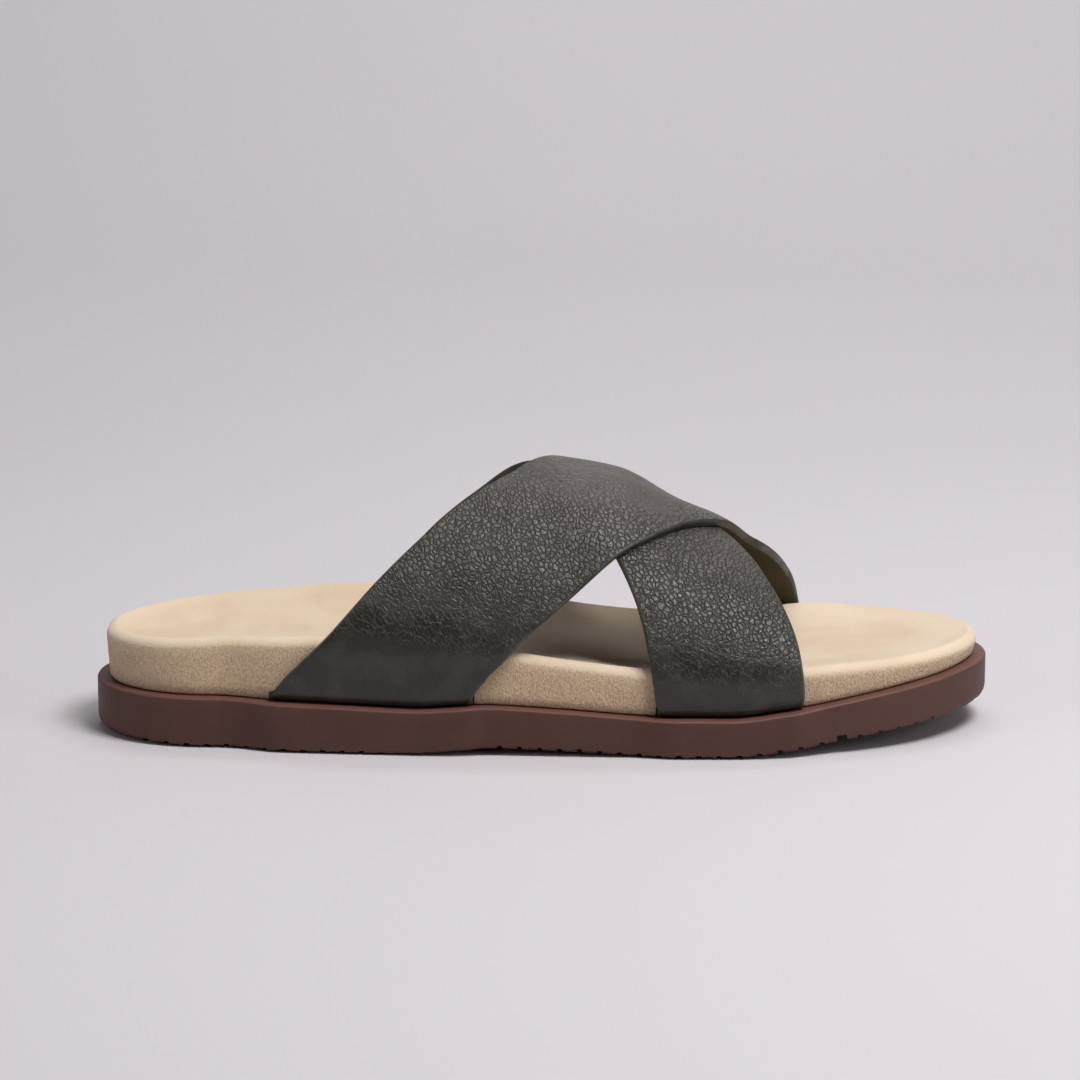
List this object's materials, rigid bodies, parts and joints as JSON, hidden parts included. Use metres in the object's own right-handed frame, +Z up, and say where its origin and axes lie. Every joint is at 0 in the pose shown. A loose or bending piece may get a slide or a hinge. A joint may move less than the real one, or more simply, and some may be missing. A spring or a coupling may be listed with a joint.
{
  "type": "cross strap sandal",
  "caption": "Slip-on sandal for the right foot: two pebbled leather straps cross over the instep above a moulded suede footbed on a thick flat rubber outsole.",
  "frame": {"origin": "on the floor, in the middle of the outsole's length and width", "axes": "+X from heel to toe, +Y towards the inner (medial) side of the right foot, +Z up"},
  "size_m": [0.285, 0.1082, 0.0853],
  "materials": {
    "brown_rubber": "matt, slightly waxy",
    "sand_suede": "brushed nap",
    "olive_grey_leather": "pebbled, soft sheen"
  },
  "bodies": {
    "root": {"outsole": "brown_rubber", "footbed": "sand_suede", "upper": "olive_grey_leather"}
  },
  "joints": []
}
